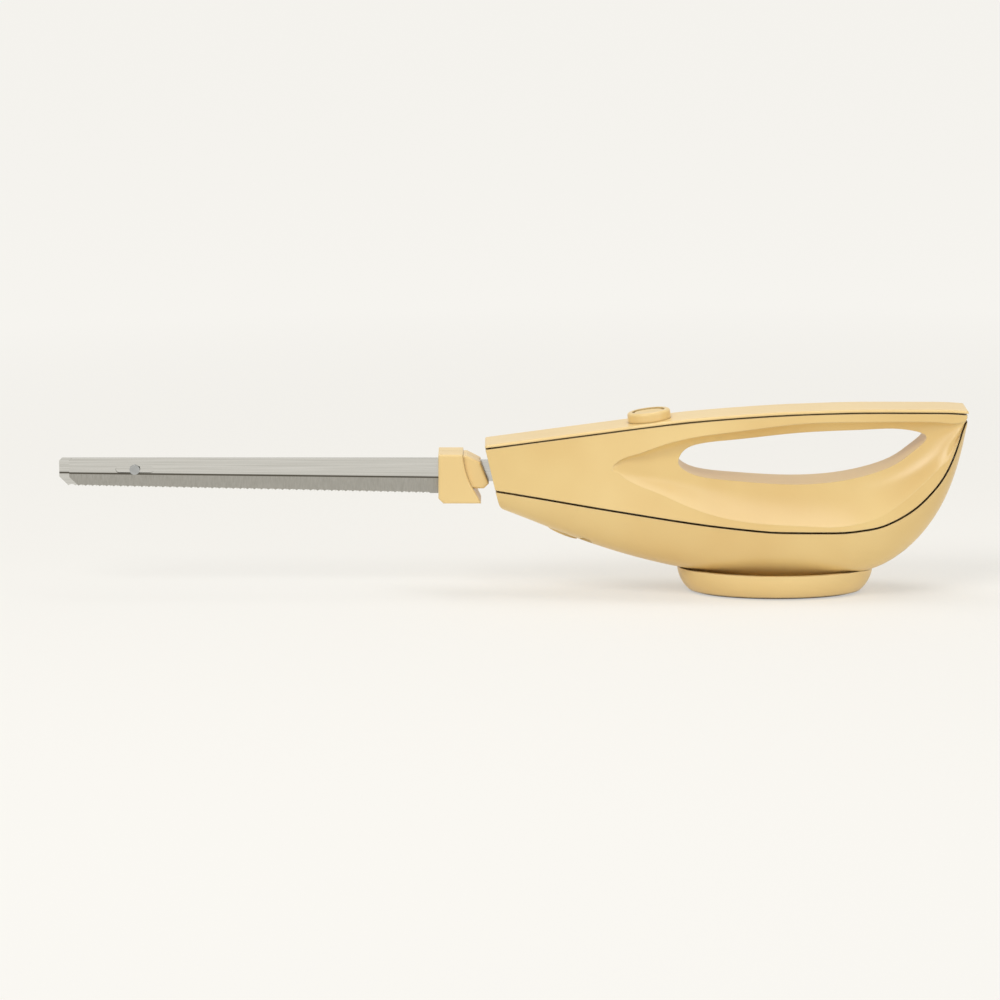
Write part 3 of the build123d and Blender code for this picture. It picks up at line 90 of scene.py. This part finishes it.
def mouldedPlastic(name, look):
    material, tree = newMaterial(name)
    place = addNode(tree, "ShaderNodeTexCoord")
    cloud = addNode(tree, "ShaderNodeTexNoise",
                    {"Scale": perLength(look["cloudMm"]), "Detail": look["cloudDetail"]},
                    {"Vector": (place, "Object")})
    tone = addNode(tree, "ShaderNodeValToRGB", links={"Fac": (cloud, "Fac")},
                   stops=[(look["shadeBelow"], linearFromHex(look["shade"])),
                          (look["colourAbove"], linearFromHex(look["colour"]))])

    # Edges that hands have rubbed pale, in patches
    softEdge = addNode(tree, "ShaderNodeBevel", {"samples": look["edgeRays"], "Radius": mm(look["edgeMm"])})
    facing = addNode(tree, "ShaderNodeNewGeometry")
    aligned = addNode(tree, "ShaderNodeVectorMath", {"operation": "DOT_PRODUCT"},
                      {0: (softEdge, "Normal"), 1: (facing, "Normal")})
    edge = addNode(tree, "ShaderNodeValToRGB", links={"Fac": (aligned, "Value")},
                   stops=[(look["wornBelow"], grey(1.0)), (look["freshAbove"], grey(0.0))])
    patchy = addNode(tree, "ShaderNodeTexNoise",
                     {"Scale": perLength(look["wearMm"]), "Detail": look["wearDetail"]},
                     {"Vector": (place, "Object")})
    wearMask = addNode(tree, "ShaderNodeMath", {"operation": "MULTIPLY"},
                       {0: (edge, "Color"), 1: (patchy, "Fac")})
    worn = addNode(tree, "ShaderNodeMix", {"data_type": "RGBA", colourB: linearFromHex(look["worn"])},
                   {mixShare: (wearMask, "Value"), colourA: (tone, "Color")})

    # Painted shade in the creases where two pieces meet: ambient occlusion lays a dark brown where the
    # shade falls
    crease = addNode(tree, "ShaderNodeAmbientOcclusion",
                     {"samples": look["creaseRays"], "Distance": mm(look["creaseMm"])})
    # painted shade: none where the surface is open, up to the share where the crease closes in
    paintedShadeMask = addNode(tree, "ShaderNodeMapRange",
                        {"From Min": look["unshadedAbove"], "From Max": look["fullyShadedBelow"],
                         "To Max": look["paintedShadeShare"]}, {"Value": (crease, "AO")})
    withPaintedCreaseShade = addNode(tree, "ShaderNodeMix", {"data_type": "RGBA", colourB: linearFromHex(look["paintedShadeColour"])},
                     {mixShare: (paintedShadeMask, "Result"), colourA: (worn, mixedColour)})

    sheen = addNode(tree, "ShaderNodeTexNoise",
                    {"Scale": perLength(look["sheenMm"]), "Detail": look["sheenDetail"]},
                    {"Vector": (place, "Object")})
    rough = addNode(tree, "ShaderNodeMapRange", {"To Min": look["roughLow"], "To Max": look["roughHigh"]},
                    {"Value": (sheen, "Fac")})
    grain = addNode(tree, "ShaderNodeTexNoise",
                    {"Scale": perLength(look["grainMm"]), "Detail": look["grainDetail"]},
                    {"Vector": (place, "Object")})
    skin = addNode(tree, "ShaderNodeBump",
                   {"Strength": look["grainStrength"], "Distance": mm(look["grainDeepMm"])},
                   {"Height": (grain, "Fac"), "Normal": (softEdge, "Normal")})
    shader = addNode(tree, "ShaderNodeBsdfPrincipled", {"IOR": look["ior"]},
                     {"Base Color": (withPaintedCreaseShade, mixedColour), "Roughness": (rough, "Result"),
                      "Normal": (skin, "Normal")})
    addNode(tree, "ShaderNodeOutputMaterial", links={"Surface": (shader, "BSDF")})
    return material


# Cream ABS, moulded against a finely blasted tool: warm ivory, soft gloss, a little yellowed in patches
creamLook = {
    # colours: the cream's two tones, its rubbed edge, and the dark brown of the painted crease shade
    "colour": "#EACC8B", "shade": "#E2C07E", "worn": "#F3DFAE", "paintedShadeColour": "#6B4A24", "ior": 1.54,
    "cloudMm": 55.0, "cloudDetail": 2.0, "shadeBelow": 0.32, "colourAbove": 0.66,
    "edgeMm": 0.7, "edgeRays": 4, "wornBelow": 0.86, "freshAbove": 0.985, "wearMm": 9.0, "wearDetail": 4.0,
    # the painted crease shade: how far the occlusion reaches, its rays, where it starts and is full, and
    # its share
    "creaseMm": 2.4, "creaseRays": 6, "unshadedAbove": 0.62, "fullyShadedBelow": 0.30, "paintedShadeShare": 0.75,
    "sheenMm": 30.0, "sheenDetail": 3.0, "roughLow": 0.28, "roughHigh": 0.37,
    "grainMm": 1.0, "grainDetail": 2.0,  # real grain is 0.1 mm, too fine to show
    "grainStrength": 0.05, "grainDeepMm": 0.03,
}
# The same ABS from the paler batch used for the cover, foot, guard and switch bezel
paleLook = dict(creamLook, colour="#F1D393", shade="#EBCB8A", worn="#F8E6BC")
# Thumb button and release button: the pale ABS, polished by fingers
buttonLook = dict(paleLook, roughLow=0.28, roughHigh=0.31, edgeMm=0.5, grainStrength=0.02)
# Phenolic, compression moulded: near black brown, satin, with no painted crease shade inside the housing
phenolicLook = dict(creamLook, colour="#241A15", shade="#1B1410", worn="#3A2D25", paintedShadeShare=0.0,
                    roughLow=0.32, roughHigh=0.48, ior=1.6, cloudMm=6.0)
# Natural nylon, moulded: milky white, waxy
nylonLook = dict(creamLook, colour="#E6E1D3", shade="#DCD6C4", worn="#F1EDE3", paintedShadeShare=0.0,
                 roughLow=0.36, roughHigh=0.5, ior=1.53, cloudMm=20.0)
# Pressed carbon: dull black with a graphite gleam
carbonLook = dict(creamLook, colour="#232326", shade="#17171A", worn="#4A4A50", paintedShadeShare=0.0,
                  roughLow=0.42, roughHigh=0.6, ior=1.7, cloudMm=1.5, grainMm=0.4, grainStrength=0.3)


def mouldedRubber(name, look):
    material, tree = newMaterial(name)
    place = addNode(tree, "ShaderNodeTexCoord")
    dust = addNode(tree, "ShaderNodeTexNoise",
                   {"Scale": perLength(look["dustMm"]), "Detail": look["dustDetail"]},
                   {"Vector": (place, "Object")})
    tone = addNode(tree, "ShaderNodeValToRGB", links={"Fac": (dust, "Fac")},
                   stops=[(look["cleanBelow"], linearFromHex(look["colour"])),
                          (look["dustyAbove"], linearFromHex(look["dusty"]))])
    pores = addNode(tree, "ShaderNodeTexVoronoi", {"Scale": perLength(look["poreMm"])},
                    {"Vector": (place, "Object")})
    skin = addNode(tree, "ShaderNodeBump",
                   {"Strength": look["poreStrength"], "Distance": mm(look["poreDeepMm"])},
                   {"Height": (pores, "Distance")})
    shader = addNode(tree, "ShaderNodeBsdfPrincipled", {"Roughness": look["rough"], "IOR": look["ior"]},
                     {"Base Color": (tone, "Color"), "Normal": (skin, "Normal")})
    addNode(tree, "ShaderNodeOutputMaterial", links={"Surface": (shader, "BSDF")})
    return material


# Black rubber, moulded: dull, dusty in patches
rubberLook = {
    "colour": "#211F1D", "dusty": "#3B3732", "rough": 0.72, "ior": 1.52,
    "dustMm": 7.0, "dustDetail": 5.0, "cleanBelow": 0.4, "dustyAbove": 0.8,
    "poreMm": 0.7, "poreStrength": 0.25, "poreDeepMm": 0.06,  # real pores are 0.1 mm, too fine to show
}


# Metals

def groundMetal(name, look):
    material, tree = newMaterial(name)
    place = addNode(tree, "ShaderNodeTexCoord")
    along = addNode(tree, "ShaderNodeMapping", {"Scale": look["grindScale"]}, {"Vector": (place, "Object")})
    scratch = addNode(tree, "ShaderNodeTexNoise",
                      {"Scale": 1.0, "Detail": look["scratchDetail"], "Roughness": look["scratchFineness"]},
                      {"Vector": (along, "Vector")})
    cloud = addNode(tree, "ShaderNodeTexNoise",
                    {"Scale": perLength(look["cloudMm"]), "Detail": look["cloudDetail"]},
                    {"Vector": (place, "Object")})
    tone = addNode(tree, "ShaderNodeValToRGB", links={"Fac": (cloud, "Fac")},
                   stops=[(look["shadeBelow"], linearFromHex(look["shade"])),
                          (look["colourAbove"], linearFromHex(look["colour"]))])
    rough = addNode(tree, "ShaderNodeMapRange", {"To Min": look["roughLow"], "To Max": look["roughHigh"]},
                    {"Value": (scratch, "Fac")})
    softEdge = addNode(tree, "ShaderNodeBevel", {"samples": look["edgeRays"], "Radius": mm(look["edgeMm"])})
    skin = addNode(tree, "ShaderNodeBump",
                   {"Strength": look["grindStrength"], "Distance": mm(look["grindDeepMm"])},
                   {"Height": (scratch, "Fac"), "Normal": (softEdge, "Normal")})
    shader = addNode(tree, "ShaderNodeBsdfPrincipled", {"Metallic": 1.0},
                     {"Base Color": (tone, "Color"), "Roughness": (rough, "Result"),
                      "Normal": (skin, "Normal")})
    addNode(tree, "ShaderNodeOutputMaterial", links={"Surface": (shader, "BSDF")})
    return material


# Zinc-plated steel, drawn or stamped: cool grey, faintly blue, soft lines from the tool
zincLook = {
    "colour": "#B9BBBC", "shade": "#A5A7A6", "cloudMm": 6.0, "cloudDetail": 3.0,
    "shadeBelow": 0.3, "colourAbove": 0.7,
    "roughLow": 0.26, "roughHigh": 0.42, "edgeMm": 0.2, "edgeRays": 4,
    "grindScale": grindAlong(9.0, 0.35, "X"),  # real tool lines are under 0.1 mm, too fine to show
    "grindStrength": 0.2, "grindDeepMm": 0.01, "scratchDetail": 3.0, "scratchFineness": 0.6,
}
# Spring steel, rolled: darker, smooth
springLook = dict(zincLook, colour="#8E9092", shade="#75777A", roughLow=0.22, roughHigh=0.34)
# Bronze, sintered and cut: brown gold
bronzeLook = dict(zincLook, colour="#B98A4E", shade="#96693A", roughLow=0.3, roughHigh=0.45)
# Brass, stamped: yellow and bright
brassLook = dict(zincLook, colour="#D2B064", shade="#B98F49", roughLow=0.2, roughHigh=0.34)
# Copper, drawn into 0.5 mm wire and enamelled: orange red, in turns that lie side by side
copperLook = dict(zincLook, colour="#C0703F", shade="#9A5128", roughLow=0.24, roughHigh=0.38,
                  grindScale=grindAlong(12.0, 0.5, "Y"), grindStrength=0.6, grindDeepMm=0.05)
# Aluminium alloy, die cast: pale grey with a sandy skin
castLook = dict(zincLook, colour="#B4B5B4", shade="#9D9E9D", roughLow=0.42, roughHigh=0.6,
                grindScale=grindAlong(0.7, 0.7, "X"), grindStrength=0.4, grindDeepMm=0.03)
# Laminated iron: dark grey sheets stacked along the shaft, 0.5 mm each
laminatedLook = dict(zincLook, colour="#5C5C5E", shade="#3F3F42", roughLow=0.4, roughHigh=0.6,
                     grindScale=grindAlong(0.5, 60.0, "X"), grindStrength=0.6, grindDeepMm=0.05)


def groundBlade(name, look):
    material, tree = newMaterial(name)
    place = addNode(tree, "ShaderNodeTexCoord")
    facing = addNode(tree, "ShaderNodeNewGeometry")
    split = addNode(tree, "ShaderNodeSeparateXYZ", links={0: (facing, "True Normal")})
    bevelMask = addNode(tree, "ShaderNodeMapRange",
                        {"From Min": look["flatTilt"], "From Max": look["bevelTilt"]},
                        {"Value": (split, "Z")})
    lengthwise = addNode(tree, "ShaderNodeMapping",
                         {"Scale": grindAlong(look["polishMm"], look["lineMm"], "X")},
                         {"Vector": (place, "Object")})
    crosswise = addNode(tree, "ShaderNodeMapping",
                        {"Scale": grindAlong(look["grindMm"], look["lineMm"], "Z"),
                         "Rotation": (0.0, math.radians(look["leanDeg"]), 0.0)},
                        {"Vector": (place, "Object")})
    polish = addNode(tree, "ShaderNodeTexNoise", {"Scale": 1.0, "Detail": look["lineDetail"]},
                     {"Vector": (lengthwise, "Vector")})
    grind = addNode(tree, "ShaderNodeTexNoise", {"Scale": 1.0, "Detail": look["lineDetail"]},
                    {"Vector": (crosswise, "Vector")})

    flatTone = addNode(tree, "ShaderNodeValToRGB", links={"Fac": (polish, "Fac")},
                       stops=[(look["flatShadeBelow"], linearFromHex(look["polishedShade"])),
                              (look["flatToneAbove"], linearFromHex(look["polished"]))])
    bevelTone = addNode(tree, "ShaderNodeValToRGB", links={"Fac": (grind, "Fac")},
                        stops=[(look["bevelShadeBelow"], linearFromHex(look["groundShade"])),
                               (look["bevelToneAbove"], linearFromHex(look["ground"]))])
    tone = addNode(tree, "ShaderNodeMix", {"data_type": "RGBA"},
                   {mixShare: (bevelMask, "Result"), colourA: (flatTone, "Color"),
                    colourB: (bevelTone, "Color")})

    # Painted dark reflection along the crisp upper edge of the bevel: a line that rises towards the tip and
    # reads darker than both sides
    spot = addNode(tree, "ShaderNodeSeparateXYZ", links={0: (place, "Object")})
    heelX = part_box("guard_left")[0][0]
    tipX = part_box("blade_left")[0][0]
    heelZ = mm(look["edgeHeelMm"])
    rise = (mm(look["edgeTipMm"]) - heelZ) / (tipX - heelX)
    edgeHeight = addNode(tree, "ShaderNodeMath",
                         {"operation": "MULTIPLY_ADD", 1: rise, 2: heelZ - rise * heelX}, {0: (spot, "X")})
    above = addNode(tree, "ShaderNodeMath", {"operation": "SUBTRACT"},
                    {0: (spot, "Z"), 1: (edgeHeight, "Value")})
    away = addNode(tree, "ShaderNodeMath", {"operation": "ABSOLUTE"}, {0: (above, "Value")})
    onEdge = addNode(tree, "ShaderNodeMapRange",
                     {"From Min": mm(look["edgeDarkMm"]), "From Max": mm(look["edgeFadedMm"]),
                      "To Min": 1.0, "To Max": 0.0}, {"Value": (away, "Value")})
    beforeGuard = addNode(tree, "ShaderNodeMapRange",
                          {"From Min": heelX + mm(look["heelFadeMm"]), "From Max": heelX},
                          {"Value": (spot, "X")})
    paintedEdgeReflectionMask = addNode(tree, "ShaderNodeMath", {"operation": "MULTIPLY"},
                       {0: (onEdge, "Result"), 1: (beforeGuard, "Result")})
    withPaintedEdgeReflection = addNode(tree, "ShaderNodeMix", {"data_type": "RGBA", colourB: linearFromHex(look["edge"])},
                    {mixShare: (paintedEdgeReflectionMask, "Value"), colourA: (tone, mixedColour)})

    flatRough = addNode(tree, "ShaderNodeMapRange",
                        {"To Min": look["polishedLow"], "To Max": look["polishedHigh"]},
                        {"Value": (polish, "Fac")})
    bevelRough = addNode(tree, "ShaderNodeMapRange",
                         {"To Min": look["groundLow"], "To Max": look["groundHigh"]},
                         {"Value": (grind, "Fac")})
    rough = addNode(tree, "ShaderNodeMix", {"data_type": "FLOAT"},
                    {mixShare: (bevelMask, "Result"), numberA: (flatRough, "Result"),
                     numberB: (bevelRough, "Result")})
    lines = addNode(tree, "ShaderNodeMix", {"data_type": "FLOAT"},
                    {mixShare: (bevelMask, "Result"), numberA: (polish, "Fac"), numberB: (grind, "Fac")})
    skin = addNode(tree, "ShaderNodeBump",
                   {"Strength": look["lineStrength"], "Distance": mm(look["lineDeepMm"])},
                   {"Height": (lines, mixedNumber)})
    shader = addNode(tree, "ShaderNodeBsdfPrincipled", {"Metallic": 1.0},
                     {"Base Color": (withPaintedEdgeReflection, mixedColour), "Roughness": (rough, mixedNumber),
                      "Normal": (skin, "Normal")})
    addNode(tree, "ShaderNodeOutputMaterial", links={"Surface": (shader, "BSDF")})
    return material


# Stainless steel, polished lengthwise on its flat and ground across on its bevel: bright flat, greyer bevel
bladeLook = {
    "polished": "#D3D2CE", "polishedShade": "#C3C2BD", "flatShadeBelow": 0.35, "flatToneAbove": 0.65,
    "polishMm": 55.0, "polishedLow": 0.10, "polishedHigh": 0.19,
    "ground": "#ADABA5", "groundShade": "#9F9D96", "bevelShadeBelow": 0.3, "bevelToneAbove": 0.7,
    "grindMm": 16.0, "leanDeg": 12.0, "groundLow": 0.26, "groundHigh": 0.38,
    "flatTilt": -0.03, "bevelTilt": -0.08,  # the bevel's faces look a little down, the flat's don't
    # the painted dark reflection along the bevel's upper edge: its colour, how far from the edge it is full
    # and gone
    "edge": "#57534B", "edgeDarkMm": 0.28, "edgeFadedMm": 0.616, "heelFadeMm": 2.0,
    "edgeHeelMm": 59.06, "edgeTipMm": 61.22,  # height of the bevel's upper edge at the guard and at the tip
    "lineMm": 0.45, "lineDetail": 3.0,  # real polishing lines are under 0.1 mm, too fine to show
    "lineStrength": 0.12, "lineDeepMm": 0.01,
}

finishes = {
    "cream": mouldedPlastic("creamMouldedAbs", creamLook),
    "pale": mouldedPlastic("paleMouldedAbs", paleLook),
    "button": mouldedPlastic("polishedMouldedAbs", buttonLook),
    "phenolic": mouldedPlastic("mouldedPhenolic", phenolicLook),
    "nylon": mouldedPlastic("mouldedNylon", nylonLook),
    "carbon": mouldedPlastic("pressedCarbon", carbonLook),
    "rubber": mouldedRubber("mouldedRubber", rubberLook),
    "blade": groundBlade("groundStainlessSteel", bladeLook),
    "zinc": groundMetal("zincPlatedSteel", zincLook),
    "spring": groundMetal("rolledSpringSteel", springLook),
    "bronze": groundMetal("sinteredBronze", bronzeLook),
    "brass": groundMetal("stampedBrass", brassLook),
    "copper": groundMetal("enamelledCopper", copperLook),
    "cast": groundMetal("dieCastAluminium", castLook),
    "laminated": groundMetal("laminatedIron", laminatedLook),
}
print("materials made:", len(finishes))

nodeFinish = {
    "cream": ["upper_housing", "lower_housing"],
    "pale": ["top_cover", "foot", "switch_bezel", "guard_left", "guard_right"],
    "button": ["switch_button", "release_button"],
    "rubber": ["foot_pad"],
    "blade": ["blade_left", "blade_right"],
    "zinc": ["foot_screws", "housing_screws", "blade_rivet", "eccentric_left", "eccentric_right",
             "gear_axle", "worm", "armature_shaft", "through_bolts"],
    "spring": ["switch_spring", "latch_clip_left", "latch_clip_right", "release_spring", "brush_springs"],
    "phenolic": ["switch_base", "inlet_socket"],
    "brass": ["switch_contacts", "brush_holders", "inlet_pins"],
    "bronze": ["bearings"],
    "nylon": ["nose_guide", "cooling_fan", "driver_left", "driver_right", "worm_gear"],
    "cast": ["gear_frame", "rear_bracket"],
    "laminated": ["armature_core", "stator"],
    "copper": ["armature_windings", "commutator", "field_coils"],
    "carbon": ["carbon_brushes"],
}
for finish, names in nodeFinish.items():
    for name in names:
        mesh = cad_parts[name].data
        mesh.materials.clear()
        mesh.materials.append(finishes[finish])
bare = sorted(set(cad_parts) - {name for names in nodeFinish.values() for name in names})
print("finishes given, nodes left bare:", bare)


# Studio

studio = {
    "colour": "#F8F6F1", "floorRadius": 12.0, "rimSteps": 96, "floorRough": 0.9,
    "nearReach": 0.35, "nearShare": 0.5,  # how pale the floor looks near the knife
    "farReach": 1.1, "farShare": 0.94,  # and far from it, in metres
    "worldGlow": 0.42, "worldPale": 0.97,  # what lights the knife, and what the eye sees
}


# 1 on the rays that the eye follows, straight or by way of metal, and 0 on those that only carry light
def addSeenRays(tree):
    rays = addNode(tree, "ShaderNodeLightPath")
    mirrored = addNode(tree, "ShaderNodeMath", {"operation": "MAXIMUM"},
                       {0: (rays, "Is Glossy Ray"), 1: (rays, "Is Transmission Ray")})
    return addNode(tree, "ShaderNodeMath", {"operation": "MAXIMUM"},
                   {0: (rays, "Is Camera Ray"), 1: (mirrored, "Value")})


# Matt painted board, pale and warm: paler still to the eye, but less so near the knife, to keep its shadow
def paintedFloor():
    material, tree = newMaterial("paintedFloor")
    colour = linearFromHex(studio["colour"])
    paint = addNode(tree, "ShaderNodeBsdfPrincipled",
                    {"Base Color": colour, "Roughness": studio["floorRough"]})
    pale = addNode(tree, "ShaderNodeEmission", {"Color": colour})
    place = addNode(tree, "ShaderNodeTexCoord")
    reach = addNode(tree, "ShaderNodeVectorMath", {"operation": "LENGTH"}, {0: (place, "Object")})
    paler = addNode(tree, "ShaderNodeMapRange",
                    {"From Min": studio["nearReach"], "From Max": studio["farReach"],
                     "To Min": studio["nearShare"], "To Max": studio["farShare"]},
                    {"Value": (reach, "Value")})
    seen = addSeenRays(tree)
    share = addNode(tree, "ShaderNodeMath", {"operation": "MULTIPLY"},
                    {0: (seen, "Value"), 1: (paler, "Result")})
    both = addNode(tree, "ShaderNodeMixShader",
                   links={0: (share, "Value"), 1: (paint, "BSDF"), 2: (pale, "Emission")})
    addNode(tree, "ShaderNodeOutputMaterial", links={"Surface": (both, "Shader")})
    return material


def buildFloor():
    mesh = bmesh.new()
    bmesh.ops.create_circle(mesh, cap_ends=True, segments=studio["rimSteps"], radius=studio["floorRadius"])
    data = bpy.data.meshes.new("studioFloor")
    mesh.to_mesh(data)
    mesh.free()
    data.materials.append(paintedFloor())
    floor = bpy.data.objects.new("studioFloor", data)
    bpy.context.scene.collection.objects.link(floor)


def buildWorld():
    world = bpy.data.worlds.new("studioWorld")
    world.use_nodes = True
    tree = world.node_tree
    tree.nodes.clear()
    colour = linearFromHex(studio["colour"])
    glow = addNode(tree, "ShaderNodeBackground", {"Color": colour, "Strength": studio["worldGlow"]})
    pale = addNode(tree, "ShaderNodeBackground", {"Color": colour, "Strength": studio["worldPale"]})
    seen = addSeenRays(tree)
    both = addNode(tree, "ShaderNodeMixShader",
                   links={0: (seen, "Value"), 1: (glow, "Background"), 2: (pale, "Background")})
    addNode(tree, "ShaderNodeOutputWorld", links={"Surface": (both, "Shader")})
    bpy.context.scene.world = world


# Places and sizes in metres, power in watts
softboxes = {
    "keyBox": {"place": (-0.9, -1.3, 1.5), "size": (1.1, 0.9), "power": 17.6},
    "topBox": {"place": (0.1, 0.25, 1.7), "size": (1.6, 0.7), "power": 9.6},
    "fillBox": {"place": (1.4, -1.2, 0.6), "size": (0.9, 0.9), "power": 6.0},
}
lampTarget = Vector((-0.12, 0.0, 0.05))  # the middle of the knife


def addSoftbox(name, box):
    light = bpy.data.lights.new(name, "AREA")
    light.shape = "RECTANGLE"
    light.size, light.size_y = box["size"]
    light.energy = box["power"]
    lamp = bpy.data.objects.new(name, light)
    lamp.location = box["place"]
    lamp.rotation_euler = (lampTarget - Vector(box["place"])).to_track_quat("-Z", "Y").to_euler()
    bpy.context.scene.collection.objects.link(lamp)


buildFloor()
buildWorld()
for name, box in softboxes.items():
    addSoftbox(name, box)
print("studio built")


# Camera: the drawing's own side view, blades to the left, ten degrees from above

view = {
    "elevationDeg": 10.0, "distance": 2.4, "frameWide": 0.5124, "aim": (-0.1411, 0.0, 0.047),
    "sensorWide": 36.0, "farthest": 20.0,
}


def aimCamera():
    lens = bpy.data.cameras.new("sideCamera")
    lens.sensor_width = view["sensorWide"]
    lens.lens = view["sensorWide"] * view["distance"] / view["frameWide"]
    lens.clip_end = view["farthest"]
    camera = bpy.data.objects.new("sideCamera", lens)
    lift = math.radians(view["elevationDeg"])
    aim = Vector(view["aim"])
    camera.location = aim + Vector((0.0, -math.cos(lift), math.sin(lift))) * view["distance"]
    camera.rotation_euler = (aim - camera.location).to_track_quat("-Z", "Y").to_euler()
    bpy.context.scene.collection.objects.link(camera)
    bpy.context.scene.camera = camera


aimCamera()
bpy.context.scene.view_settings.view_transform = "Standard"
print("camera aimed")
